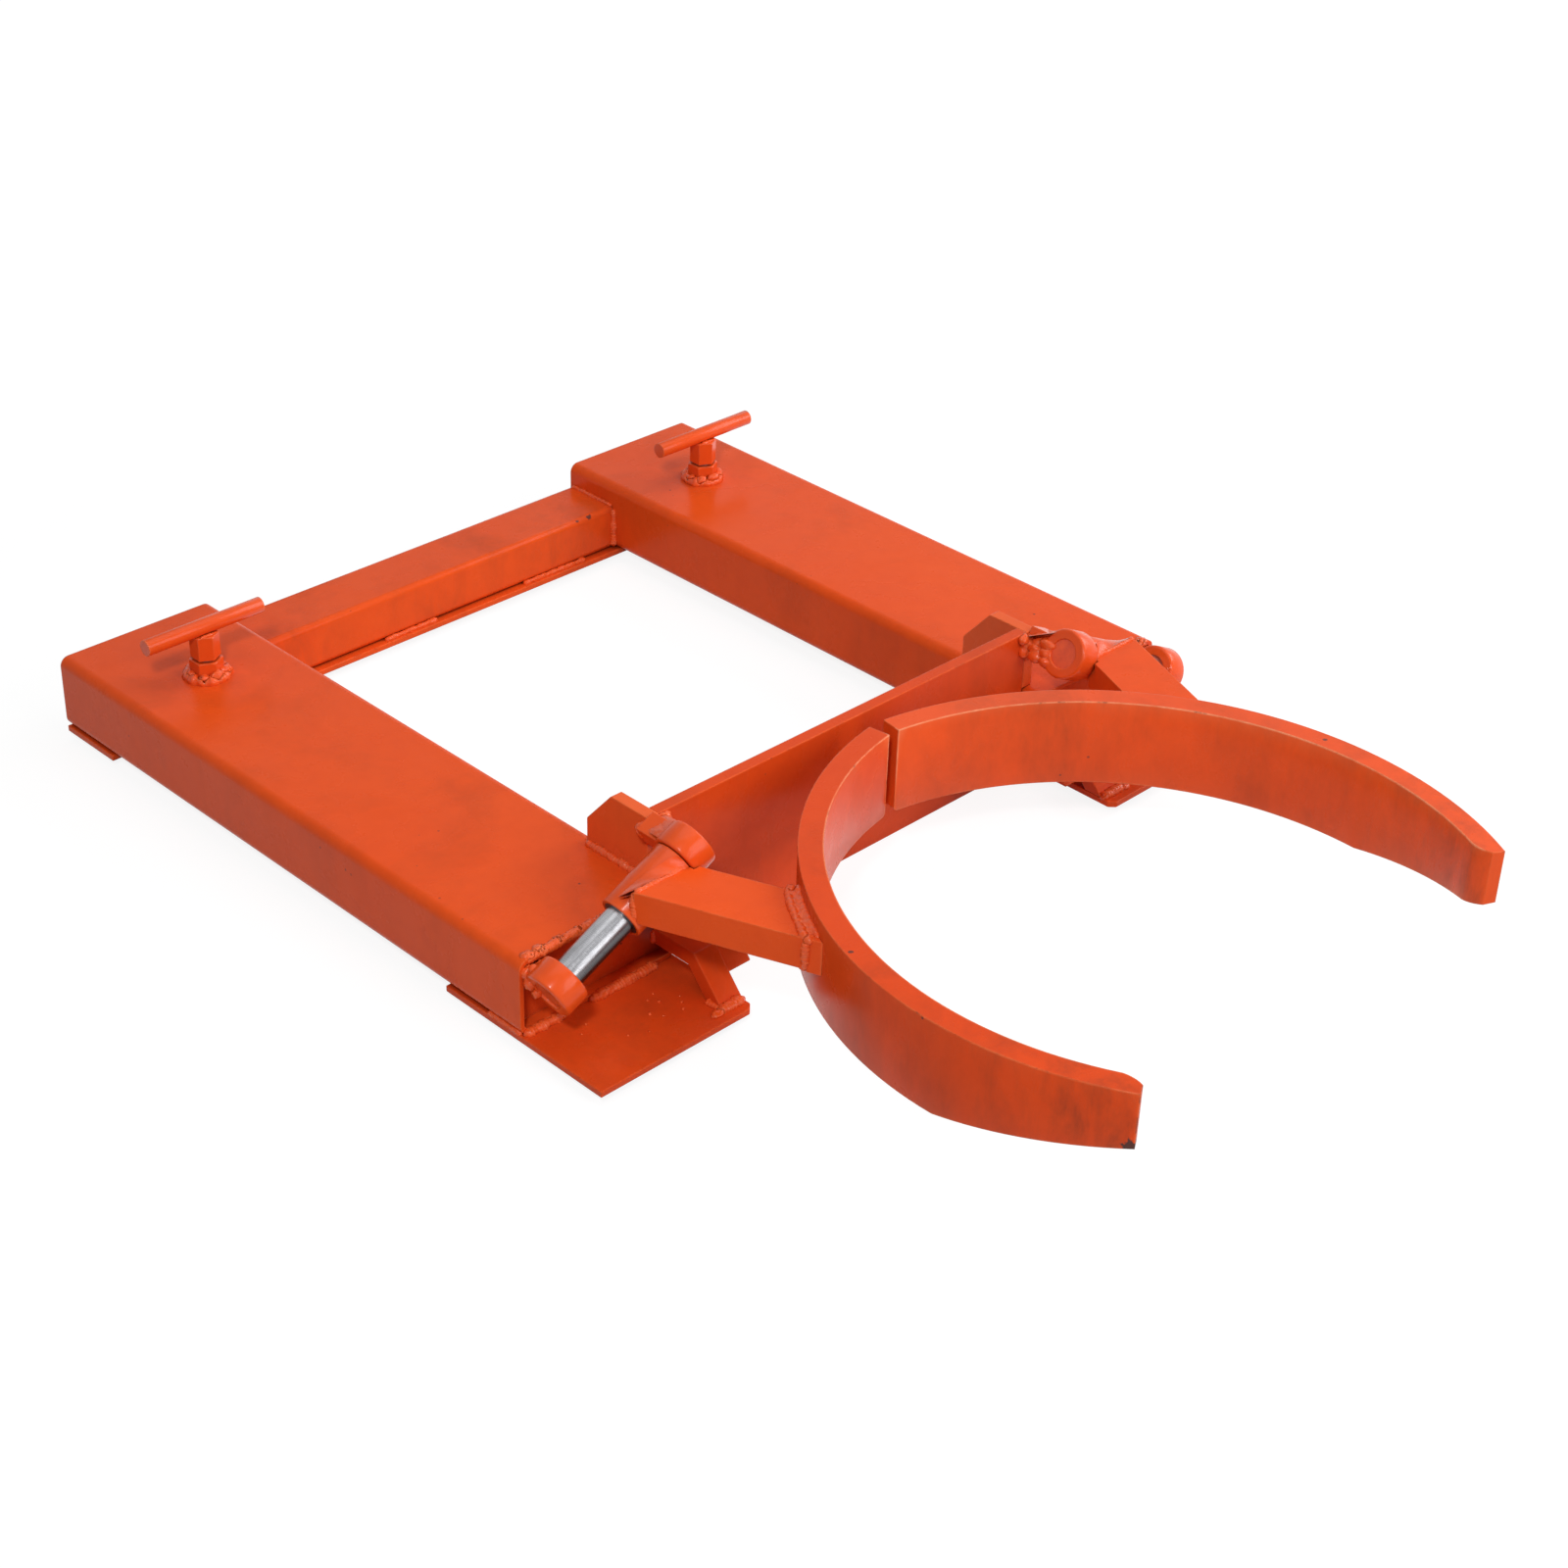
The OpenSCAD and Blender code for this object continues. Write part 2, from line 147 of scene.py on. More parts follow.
def paint(name, grime=0.5, chips=0.5, scuffs_and_shadows=(), bare_spots=(), rough=(0.20, 0.34), lumpy=0.0,
          shine=0.09, recess_shade=0.72, shaded_share=0.0, lit_share=0.0, glint_middle=None):
    """Gloss orange paint on steel.

    The spots, each a point, a radius and a strength, are darker places: scuffs, and painted shadows
    where listed; the bare spots are the same without paint. The two coat shares give a darker coat
    of painted shade and a lighter coat of painted light. Edges within the glint reach, in mm, of
    the given middle point, the jaw's inner edges, get a painted highlight."""
    n = Net(bpy.data.materials.new(name))
    tone = n.span(n.noise(4.0, 3), 0.35, 0.68)
    # the darker coat share, where given, is painted shade
    fine = n.span(n.noise(55.0, 5, 0.6), 0.42, 0.78, shaded_share, shaded_share + 0.22)
    colour = n.mix(tone, ORANGE, ORANGE_WARM)
    colour = n.mix(fine, colour, ORANGE_DEEP)
    # the lighter coat share, where given, is painted light
    if lit_share:
        colour = n.mix(lit_share, colour, ORANGE_THIN_LIT)

    # rubbed-in grime: soft clouds, drawn out upwards, with a fine grain in them
    drawn = n.vector("MULTIPLY", n.place, (1, 1, 0.35))
    cloud = n.span(n.noise(9.0, 6, 0.6, 0.3, drawn), 0.50, 0.78)
    grain = n.span(n.noise(150.0, 4, 0.7, 0.0, drawn), 0.30, 0.75, 0.55, 1.0)
    dirt_and_shade = n.math("MULTIPLY", n.math("MULTIPLY", cloud, grain), grime)
    # darker spots: scuffs, and painted shadows where listed
    for point, radius, strength in scuffs_and_shadows:
        local = n.math("MULTIPLY", n.near(point, radius, radius * 0.95),
                       n.span(n.noise(38.0, 7, 0.66, 0.2, drawn), 0.40, 0.75, 0.0, strength))
        dirt_and_shade = n.math("MAXIMUM", dirt_and_shade, n.math("MULTIPLY", local, grain))
    colour = n.mix(dirt_and_shade, colour, GRIME_AND_SHADE)

    # painted shade: darker in the recesses and corners, where shade falls
    open_sky = n.node("AmbientOcclusion", {"samples": 6}, Distance=SHADE_REACH).outputs["AO"]
    colour = n.mix(n.span(open_sky, 0.50, 0.10, 0.0, recess_shade), colour, RECESS_SHADE)

    # edges: thinner paint with a painted highlight on it, and chips down to dark steel in places
    soft = n.node("Bevel", {"samples": 6}, Radius=SOFT_EDGE).outputs[0]
    wide = n.node("Bevel", {"samples": 6}, Radius=WORN_EDGE).outputs[0]
    flat = n.node("NewGeometry").outputs["True Normal"]
    edge = n.span(n.math("SUBTRACT", 1.0, n.dot(wide, flat)), 0.015, 0.22)
    chip = n.math("MULTIPLY", edge, n.span(n.noise(38.0, 8, 0.72), 0.57, 0.63, 0.0, chips))
    thin_lit_edge = n.math("MULTIPLY", edge, n.span(n.noise(22.0, 5), 0.32, 0.66, 0.10, 0.6))
    colour = n.mix(thin_lit_edge, colour, ORANGE_THIN_LIT)
    # painted highlight along the jaw's inner top edges
    if glint_middle:
        inner = n.math("MULTIPLY", edge, n.near(glint_middle, GLINT_WITHIN, 3))
        glint = n.math("MULTIPLY", inner, n.span(n.noise(26.0, 5, 0.7), 0.35, 0.60, 0.25, 0.85))
        colour = n.mix(glint, colour, ORANGE_GLINT)
    colour = n.mix(chip, colour, BARE)

    for point, radius, strength in bare_spots:
        ragged = n.math("ADD", n.near(point, radius, radius),
                        n.span(n.noise(210.0, 4), 0.2, 0.8, -0.35, 0.35))
        colour = n.mix(n.span(ragged, 0.42, 0.52, 0.0, strength), colour, BARE)

    # a few small dark specks
    cell = n.node("TexVoronoi", Scale=48.0, Vector=n.place)
    speck = n.math("MULTIPLY", n.span(cell.outputs["Distance"], 0.075, 0.045),
                   n.span(n.noise(9.0, 2), 0.60, 0.66))
    colour = n.mix(n.math("MULTIPLY", speck, 0.75), colour, BARE)

    gloss = n.span(n.noise(14.0, 6, 0.6), 0.3, 0.72, rough[0], rough[1])
    gloss = n.math("ADD", gloss, n.math("MULTIPLY", dirt_and_shade, 0.25))
    height = n.math("MULTIPLY", n.noise(420.0, 2), 0.07)
    height = n.math("ADD", height, n.math("MULTIPLY", n.noise(30.0, 3), 0.45))
    if lumpy:
        height = n.math("ADD", height, n.math("MULTIPLY", n.noise(260.0, 5, 0.6), lumpy))
    height = n.math("SUBTRACT", height, n.math("MULTIPLY", chip, 0.3))
    bump = n.node("Bump", Strength=0.35, Distance=0.0011, Height=height, Normal=soft)
    shader = n.node("BsdfPrincipled", Base_Color=colour, Roughness=gloss,
                    Normal=bump.outputs[0])
    shader.inputs["Specular IOR Level"].default_value = shine
    return n.out(shader)


def steel(name, light, dark, rough, axis=(0, 0, 1), grime=0.35, painted=()):
    """Bare steel with turning marks across the given axis.

    painted is the span along the axis, in metres, beyond which there is paint. The steel within it
    is marked along the axis and has painted shade on its underside."""
    n = Net(bpy.data.materials.new(name))
    along = n.dot(n.place, axis)
    line = n.node("TexNoise", {"noise_dimensions": "1D"}, W=along, Scale=2600.0, Detail=3.0)
    line = line.outputs[0]
    cloud = n.noise(30.0, 6, 0.6)
    if painted:
        # marks drawn out along the axis
        back = n.node("VectorMath", {"operation": "SCALE"}, i0=axis,
                      Scale=n.math("MULTIPLY", along, -0.93)).outputs[0]
        cloud = n.noise(85.0, 6, 0.72, 0.0, n.vector("ADD", n.place, back))
    colour = n.mix(n.span(cloud, 0.35, 0.65), light, dark)
    smear = n.math("MULTIPLY", n.span(n.noise(90.0, 7, 0.7), 0.50, 0.72), grime)
    colour = n.mix(smear, colour, OIL)
    gloss = n.math("ADD", n.span(line, 0.3, 0.7, rough[0], rough[1]),
                   n.math("MULTIPLY", smear, 0.3))
    height = n.math("ADD", n.math("MULTIPLY", line, 0.5), n.math("MULTIPLY", cloud, 0.6))
    bump = n.node("Bump", Strength=0.25, Distance=0.0003, Height=height)
    metal = 1.0
    if painted:
        ragged = n.math("ADD", along, n.span(n.noise(160.0, 3), 0.3, 0.7, -0.0015, 0.0015))
        cover = n.math("MAXIMUM", n.span(ragged, painted[0], painted[0] - 0.0008),
                       n.span(ragged, painted[1], painted[1] + 0.0008))
        colour = n.mix(cover, colour, n.mix(n.span(cloud, 0.35, 0.7), ORANGE, ORANGE_DEEP))
        gloss = n.mix(cover, gloss, (0.3, 0.3, 0.3, 1))
        metal = n.math("SUBTRACT", 1.0, cover)
        # painted shade: the bare steel darkens on its underside
        rise = n.dot(n.node("NewGeometry").outputs["Normal"], (0, 0, 1))
        underside_shade = n.math("MULTIPLY", n.span(rise, 0.62, -0.10, 0.0, 0.88), metal)
        colour = n.mix(underside_shade, colour, UNDERSIDE_SHADE)
    shader = n.node("BsdfPrincipled", Base_Color=colour, Roughness=gloss, Metallic=metal,
                    Normal=bump.outputs[0])
    return n.out(shader)


SIDES = ((-1, "left"), (1, "right"))

# the hinge pins: their slope, their way down and outward, and the right one's inner end in mm
TILT = math.radians(26.4)
DOWN = {k: Vector((k * math.cos(TILT), 0, -math.sin(TILT))) for k, side in SIDES}
PIN = Vector((242.85, -52.35, 151.0))
PIN_FROM = PIN.dot(DOWN[1])
PIN_BARE = (25.5, 162.5)

# the middle of the right jaw's circle, its outer radius, and the jaws' top, in mm
JAW_MIDDLE = Vector((-42.3, -370.05, 0))
JAW_OUTER = 338.5
JAW_TOP = 162.5

# the spot under the left pin, on the body and on the low plates, is a painted shadow
body_paint = paint("orange_paint", grime=0.35, chips=0.45, scuffs_and_shadows=[
    ((-331, 545, 92), 62, 0.75), ((331, 545, 92), 62, 0.75), ((-330, -80, 16), 70, 0.3)])
beam_paint = paint("orange_paint_beam", grime=0.55, chips=0.95, scuffs_and_shadows=[
    ((190, 595, 35), 95, 0.8), ((-190, 595, 30), 90, 0.6), ((0, 595, 20), 80, 0.5)],
    bare_spots=[((207, 595, 67), 8, 0.85), ((191, 595, 67), 6, 0.8), ((-120, 595, 67), 4, 0.7)])
# the low plates: a darker coat share and more recess darkening, painted shade
shaded_low_paint = paint("orange_paint_low_shaded", grime=0.5, chips=0.45, shaded_share=0.6, recess_shade=0.85,
                  scuffs_and_shadows=[((-331, -80, 16), 80, 0.45)])
# the ear plate's lighter coat share is painted light, bounced from the tube top
lit_ear_paint = paint("orange_paint_ear_lit", grime=0.2, chips=0.45, lit_share=0.22)
# the left jaw's darker coat share is painted shade; both jaws darken towards the tip and in two
# places further back
jaw_paint = {k: paint("orange_paint_jaw_" + side, grime=0.62, chips=0.7,
                      shine=0.10 if k < 0 else 0.16, shaded_share=0.62 if k < 0 else 0.0,
                      glint_middle=(JAW_MIDDLE.x * k, JAW_MIDDLE.y, JAW_TOP), scuffs_and_shadows=[
                          ((240 * k, -515, 120), 190, 0.95), ((285 * k, -330, 110), 110, 0.5),
                          ((200 * k, -170, 120), 80, 0.45)],
                      bare_spots=[((-246, -545, 110), 16, 0.9), ((-276, -270, 162), 4, 0.8),
                                  ((284, -330, 162), 4, 0.8)])
             for k, side in SIDES}
weld_paint = paint("orange_paint_weld", grime=0.35, chips=0.0, rough=(0.10, 0.24), lumpy=0.8,
                   shine=0.22, recess_shade=0.15)
part_paint = paint("orange_paint_parts", grime=0.25, chips=0.5, rough=(0.15, 0.26), shine=0.19)
pin_steel = {k: steel("pin_steel_" + side, (0.47, 0.47, 0.49, 1), (0.20, 0.20, 0.21, 1),
                      (0.18, 0.34), axis=DOWN[k], grime=0.25,
                      painted=[(PIN_FROM + depth) * MM for depth in PIN_BARE])
             for k, side in SIDES}
bush_iron = steel("bush_iron", (0.10, 0.095, 0.09, 1), (0.05, 0.045, 0.042, 1), (0.35, 0.55))
screw_steel = steel("screw_steel", (0.38, 0.36, 0.34, 1), (0.22, 0.20, 0.18, 1), (0.30, 0.5))

# the materials by the end of a node's name, the first that fits; the rest has body_paint
CHOICES = (
    (("hinge_pin",), pin_steel), (("bush",), bush_iron), (("clamp_screw",), screw_steel),
    (("ring", "sleeve", "tee_bar", "screw_head", "weld_nut"), part_paint),
    (("rear_beam", "rear_strap"), beam_paint),
    (("base_plate", "end_plate", "brace", "brace_tab", "cross_plate"), shaded_low_paint),
    (("ear_plate",), lit_ear_paint), (("_jaw",), jaw_paint))

for node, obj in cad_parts.items():
    chosen = next((material for ends, material in CHOICES if node.endswith(ends)), body_paint)
    if isinstance(chosen, dict):
        chosen = chosen[-1 if node.startswith("left") else 1]
    if obj.material_slots:
        for slot in obj.material_slots:
            slot.material = chosen
    else:
        obj.data.materials.append(chosen)


# small real roundings on the sawn and cut edges
JAW_EDGE = 0.0018
PLATE_EDGE = 0.0009
SHARPER_THAN = math.radians(32)

for node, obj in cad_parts.items():
    if node.endswith(("hinge_pin", "bush", "clamp_screw", "fork_tube", "arm_bar")):
        continue
    weld = obj.modifiers.new("join", "WELD")
    weld.merge_threshold = 0.00001
    bevel = obj.modifiers.new("edges", "BEVEL")
    bevel.width = JAW_EDGE if node.endswith("_jaw") else PLATE_EDGE
    bevel.segments = 2
    bevel.limit_method = "ANGLE"
    bevel.angle_limit = SHARPER_THAN
    bevel.harden_normals = True


# ---------------------------------------------------------------- weld beads
# All sizes here are in mm, and the meshes are made in metres.

BEAD_STEP = 0.9
BEAD_SIDES = 10
BLOB_ROWS, BLOB_COLS = 10, 16
SKIN_ROWS = 14
SKIN_STEP = 1.6
SEED_STEP = 1.37

# noise_vector depends on it, and the welds have to be the same each run
NOISE_SEED = 12
noise.seed_set(NOISE_SEED)


def resample(path, step):
    """Points every step along a polyline, with both ends kept, and its length."""
    pts = [Vector(p) for p in path]
    lengths = [(b - a).length for a, b in zip(pts, pts[1:])]
    total = sum(lengths)
    count = max(3, int(total / step))
    found, seg, done = [], 0, 0.0
    for i in range(count + 1):
        s = total * i / count
        while seg < len(lengths) - 1 and s > done + lengths[seg]:
            done += lengths[seg]
            seg += 1
        u = (s - done) / max(lengths[seg], 1e-9)
        found.append(pts[seg].lerp(pts[seg + 1], min(1, max(0, u))))
    return found, total


def bead(verts, faces, path, r, seed, pitch=3.4, closed=False):
    """Adds one weld bead along a path: a rounded run with ripples and uneven width."""
    pts, total = resample(path, BEAD_STEP)
    n, sides = len(pts), BEAD_SIDES
    first = len(verts)
    side = None
    for i, p in enumerate(pts):
        ahead = pts[min(i + 1, n - 1)] - pts[max(i - 1, 0)]
        if closed and i in (0, n - 1):
            ahead = pts[1] - pts[n - 2]
        t = ahead.normalized()
        if side is None:
            side = t.orthogonal().normalized()
        else:
            side = (side - t * side.dot(t)).normalized()
        other = t.cross(side)
        s = total * i / (n - 1)
        phase = s / pitch + 0.25 * noise.noise(Vector((s * 0.2, seed, 0)))
        wave = 0.5 + 0.5 * math.sin(2 * math.pi * phase)
        size = r * (0.84 + 0.16 * wave + 0.34 * noise.noise(Vector((s * 0.10, seed * 3.1, 5))))
        if not closed:
            end = min(s, total - s) / (1.3 * r)
            size *= math.sqrt(max(0.02, 1 - (1 - min(1, end)) ** 2))
        for j in range(sides):
            a = 2 * math.pi * j / sides
            q = p + side * (math.cos(a) * size) + other * (math.sin(a) * size)
            q += noise.noise_vector(q * 0.30 + Vector((seed, 0, 0))) * (0.22 * r)
            verts.append(q * MM)
    for i in range(n - 1):
        for j in range(sides):
            a, b = first + i * sides + j, first + i * sides + (j + 1) % sides
            faces.append((a, b, b + sides, a + sides))
    faces.append(tuple(first + j for j in range(sides))[::-1])
    faces.append(tuple(first + (n - 1) * sides + j for j in range(sides)))


def blob(verts, faces, at, size, seed):
    """Adds one lump of weld metal, a ball with uneven skin."""
    first = len(verts)
    at, size = Vector(at), Vector(size)
    rows, cols = BLOB_ROWS, BLOB_COLS
    for i in range(rows + 1):
        u = math.pi * i / rows
        for j in range(cols):
            v = 2 * math.pi * j / cols
            d = Vector((math.sin(u) * math.cos(v), math.sin(u) * math.sin(v), math.cos(u)))
            k = (1 + 0.30 * noise.noise(d * 1.7 + Vector((seed, 0, 0)))
                 + 0.08 * noise.noise(d * 5 + Vector((0, seed, 0))))
            verts.append((at + Vector((d.x * size.x, d.y * size.y, d.z * size.z)) * k) * MM)
    for i in range(rows):
        for j in range(cols):
            a, b = first + i * cols + j, first + i * cols + (j + 1) % cols
            faces.append((a, b, b + cols, a + cols))


def skin(verts, faces, low, high, bulge, seed):
    """Adds weld metal filled in between two edges: a bulged sheet over a flat one."""
    rows = SKIN_ROWS
    a = resample(low, SKIN_STEP)[0]
    b = resample(high, resample(high, SKIN_STEP)[1] / (len(a) - 1) * 0.999)[0]
    n = min(len(a), len(b))
    first = len(verts)
    for layer in (1, -1):
        for i in range(n):
            ends = math.sqrt(max(0.0, 1 - abs(2 * i / (n - 1) - 1) ** 3))
            along = (a[min(i + 1, n - 1)] - a[max(i - 1, 0)]).normalized()
            across = b[i] - a[i]
            up = along.cross(across).normalized()
            for j in range(rows + 1):
                v = j / rows
                p = a[i].lerp(b[i], v)
                if layer > 0:
                    rough = (1 + 1.1 * noise.noise(p * 0.2 + Vector((seed, 0, 0)))
                             + 0.5 * noise.noise(p * 0.55))
                    p = p + up * (bulge * ends * math.sqrt(max(0.0, 1 - (2 * v - 1) ** 2)) * rough)
                else:
                    p = p - up * abs(bulge)
                verts.append(p * MM)
    size = n * (rows + 1)
    for i in range(n - 1):
        for j in range(rows):
            q = first + i * (rows + 1) + j
            faces.append((q, q + rows + 1, q + rows + 2, q + 1))
            q += size
            faces.append((q, q + 1, q + rows + 2, q + rows + 1))


class Weld:
    """One named piece of weld metal, made of runs, lumps and sheets, that rides on a body."""

    def __init__(self, name, body, seed):
        self.name, self.body, self.seed = name, body, seed
        self.verts, self.faces = [], []

    def run(self, path, r, **more):
        self.seed += SEED_STEP
        bead(self.verts, self.faces, path, r, self.seed, **more)

    def lump(self, at, size):
        self.seed += SEED_STEP
        blob(self.verts, self.faces, at, size, self.seed)

    def sheet(self, low, high, bulge):
        self.seed += SEED_STEP
        skin(self.verts, self.faces, low, high, bulge, self.seed)

    def make(self):
        mesh = bpy.data.meshes.new(self.name)
        mesh.from_pydata(self.verts, [], self.faces)
        mesh.polygons.foreach_set("use_smooth", [True] * len(mesh.polygons))
        mesh.materials.append(weld_paint)
        mesh.update()
        obj = bpy.data.objects.new(self.name, mesh)
        bpy.context.collection.objects.link(obj)
        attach(obj, self.body)


def corners(node):
    """The low and the high corner of a node's box, in mm."""
    low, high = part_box(node)
    return low / MM, high / MM


tube_lo, tube_hi = corners("right_fork_tube")
plate_lo, plate_hi = corners("front_cross_plate")
ear_lo, ear_hi = corners("right_ear_plate")
brace_lo, brace_hi = corners("right_brace")
base_lo, base_hi = corners("right_base_plate")
beam_lo, beam_hi = corners("rear_beam")
strap_lo, strap_hi = corners("rear_strap")
nut_lo, nut_hi = corners("right_weld_nut")
head_lo, head_hi = corners("right_screw_head")
arm_lo, arm_hi = corners("right_arm_bar")
pad_lo, pad_hi = corners("right_jaw_pad")

# the right arm bar: its rear end, its turn inward, and its two edges there; the pad's thickness
ARM_REAR = -69.45
ARM_TURN = math.radians(22.3)
ARM_IN, ARM_OUT = 265.0, 329.8
PAD = 10.0


def pin_point(depth, radius, angle):
    """A point around the right pin; angle 0 is up and away from the pin, 90 is rearward."""
    up = Vector((math.sin(TILT), 0, math.cos(TILT)))
    a = math.radians(angle)
    return PIN + DOWN[1] * depth + (up * math.cos(a) + Vector((0, 1, 0)) * math.sin(a)) * radius


def arm_edge(x):
    """Where an arm edge that starts at x on the arm's rear end meets the pad, as an angle."""
    ahead = Vector((-math.sin(ARM_TURN), -math.cos(ARM_TURN), 0))
    start = Vector((x, ARM_REAR, 0)) - JAW_MIDDLE
    b = start.dot(ahead)
    c = start.length_squared - (JAW_OUTER + PAD) ** 2
    hit = start + ahead * (-b - math.sqrt(b * b - c))
    return math.atan2(hit.y, hit.x)


def around_jaw(radius, angle, z):
    """A point at an angle about the middle of the right jaw's circle."""
    return JAW_MIDDLE + Vector((math.cos(angle) * radius, math.sin(angle) * radius, z))


def arc(radius, a0, a1, z, steps=14):
    return [around_jaw(radius, a0 + (a1 - a0) * i / steps, z) for i in range(steps + 1)]


turn_in, turn_out = arm_edge(ARM_IN), arm_edge(ARM_OUT)
top = tube_hi.z
front = tube_lo.y
back = plate_lo.y
base_top = base_hi.z
nut_mid = (nut_lo + nut_hi) / 2

for k, side in SIDES:
    def at(*p, k=k):
        """A point given for the right side, as it lies on this side."""
        v = Vector(p[0]) if len(p) == 1 else Vector(p)
        return Vector((v.x * k, v.y, v.z))

    seed = 10.0 if k < 0 else 60.0

    # ear plate on the tube, and ear to cross plate
    w = Weld(side + "_ear_weld", "frame", seed)
    w.run([at(ear_hi.x + 1.0, y, top + 0.6) for y in (ear_lo.y + 2, ear_hi.y - 1)], 5.0)
    w.run([at(x, ear_hi.y + 0.6, top + 0.4) for x in (ear_hi.x, ear_lo.x + 2)], 3.8)
    w.run([at(ear_lo.x - 0.3, plate_hi.y + 0.6, z) for z in (top + 4, ear_hi.z - 5)], 3.4)
    w.make()

    # tube's front end: along the top edge, and down to the base plate
    w = Weld(side + "_tube_front_weld", "frame", seed + 100)
    w.run([at(tube_hi.x - 7, front + 4.0, top - 3.4), at(tube_hi.x - 62, front + 4.0, top - 1.8),
           at(tube_hi.x - 112, front + 4.0, top - 1.8)], 5.0)
    for x, y, r in ((-14, 5, 5.6), (-27, 6, 5.2), (-48, 5, 5.4), (-71, 5, 4.8), (-96, 5, 5.0)):
        w.lump(at(tube_hi.x + x, front + y, top - 0.8), (r * 1.3, r, r * 0.62))
    for x0, x1, r in ((tube_hi.x - 3, tube_hi.x - 50, 5.2), (tube_hi.x - 76, tube_lo.x + 22, 5.4)):
        w.run([at(x, front - 1.6, base_top + 1.0) for x in (x0, x1)], r)
    w.run([at(tube_hi.x - 2.6, y, base_top + 0.2) for y in (front + 1, front + 46)], 2.9)
    w.run([at(tube_lo.x - 0.5, back - 0.6, z) for z in (18, top - 4)], 3.6)
    w.make()

    # brace on the base plate and on the end plate
    w = Weld(side + "_brace_weld", "frame", seed + 200)
    foot = brace_lo.y
    w.run([at(x, foot - 1, base_top + 0.8) for x in (brace_hi.x + 6, brace_lo.x - 1)], 5.6)
    w.run([at(brace_hi.x + 1, y, base_top + 0.4) for y in (foot - 3, foot + 19)], 3.8)
    w.lump(at(brace_hi.x + 7, foot - 2, base_top + 1), (7, 5, 3))
    w.run([at(x, front - 0.6, brace_hi.z + 0.4) for x in (brace_hi.x, brace_lo.x)], 3.4)
    w.run([at(brace_hi.x + 0.6, front - 0.8, brace_hi.z + z) for z in (-15, -1)], 3.0)
    w.make()

    # inner ring to cross plate and ear: lumps behind the ring, and a sheet on top of it
    w = Weld(side + "_inner_ring_weld", "frame", seed + 300)
    for a in (86, 110, 132):
        for depth in (3.5, 10.5, 16.5):
            p = pin_point(depth, 22.0, a)
            foot = Vector((p.x - 0.5, back - 0.5, min(p.z + 1.5, plate_hi.z - 9)))
            for u in (0.0, 0.5, 1.0):
                q = p.lerp(foot, u)
                q += noise.noise_vector(q * 0.13 + Vector((seed, 0, 0))) * 2.5
                wide = 7.4 * (0.92 + 0.4 * noise.noise(q * 0.17))
                w.lump(at(q), (wide * 0.92, wide * 1.2, wide * 0.92))
    top_a = [at(pin_point(d, 21.4, 24)) for d in (1, 8, 15, 23)]
    xs = (ear_lo.x - 7, ear_lo.x, ear_lo.x + 6, ear_hi.x + 8)
    top_b = [at(x, back + 0.5, plate_hi.z - 3.0 - i) for i, x in enumerate(xs)]
    w.sheet(top_a if k > 0 else top_a[::-1], top_b if k > 0 else top_b[::-1], 1.9)
    w.lump(at(ear_lo.x - 6, back - 2, plate_hi.z - 5), (6.5, 5, 5.5))
    w.make()

    # outer ring to the tube's end
    w = Weld(side + "_outer_ring_weld", "frame", seed + 400)
    w.run([at(pin_point(164, 24.2, 75)), at(pin_point(176, 24.6, 78)),
           at(pin_point(187, 24.2, 75))], 5.0)
    w.run([at(pin_point(165, 24.2, 105)), at(pin_point(187, 24.2, 105))], 5.0)
    w.lump(at(pin_point(188, 20.5, 78)), (5.5, 6.5, 6))
    w.lump(at(pin_point(188.5, 17.5, 112)), (4.5, 5.5, 5))
    w.lump(at(pin_point(179, 23.0, 50)), (5, 5, 5))
    w.lump(at(tube_hi.x - 8, front - 0.5, 80), (6.5, 5, 6.5))
    w.make()

    # nut on the tube
    w = Weld(side + "_nut_weld", "frame", seed + 500)
    ring = [at(nut_mid.x + 18.2 * math.cos(a), nut_mid.y + 18.2 * math.sin(a), top + 1.4)
            for a in [2 * math.pi * i / 48 for i in range(49)]]
    w.run(ring, 6.2, closed=True, pitch=9.0)
    for a, lift, size in ((4.7, 5.5, (8, 5, 6)), (3.9, 5.0, (6.5, 5.5, 5.5)),
                          (5.5, 4.0, (6, 5.5, 5)), (3.1, 4.0, (5.5, 6, 5)),
                          (0.2, 4.0, (5, 6, 5)), (1.6, 4.5, (7, 5, 5))):
        w.lump(at(nut_mid.x + 16.8 * math.cos(a), nut_mid.y + 16.8 * math.sin(a), top + lift), size)
    w.make()

    # bar on the screw head
    w = Weld(side + "_tee_weld", side + "_handle", seed + 600)
    for s in (-1, 1):
        w.run([at(x, nut_mid.y + s * 7.6, head_hi.z - 1.4)
               for x in (head_lo.x + 3, head_hi.x - 3)], 2.8)
    w.make()

    # arm bar on the sleeve
    w = Weld(side + "_sleeve_weld", side + "_arm", seed + 700)
    lower, upper = [], []
    for i, angle in enumerate((-38, -31, -25, -20, -16, -12, -9, -7, -5)):
        x = ARM_IN + 4 + (ARM_OUT - ARM_IN - 5) * i / 8
        depth = (x - PIN.x) / math.cos(TILT)
        lower.append(at(x, ARM_REAR - 1.0, arm_hi.z - 0.6))
        upper.append(at(pin_point(min(max(depth - 12 + 5 * i / 8, 28 + i), 92), 20.6, angle)))
    w.sheet(*(lower, upper)[::-k], 2.6)
    w.run(lower, 3.0)
    w.run([at(ARM_OUT - 1.5, ARM_REAR + 0.5, arm_lo.z + 2),
           at(ARM_OUT - 2.5, ARM_REAR + 2.5, arm_hi.z - 3)], 4.0)
    w.make()

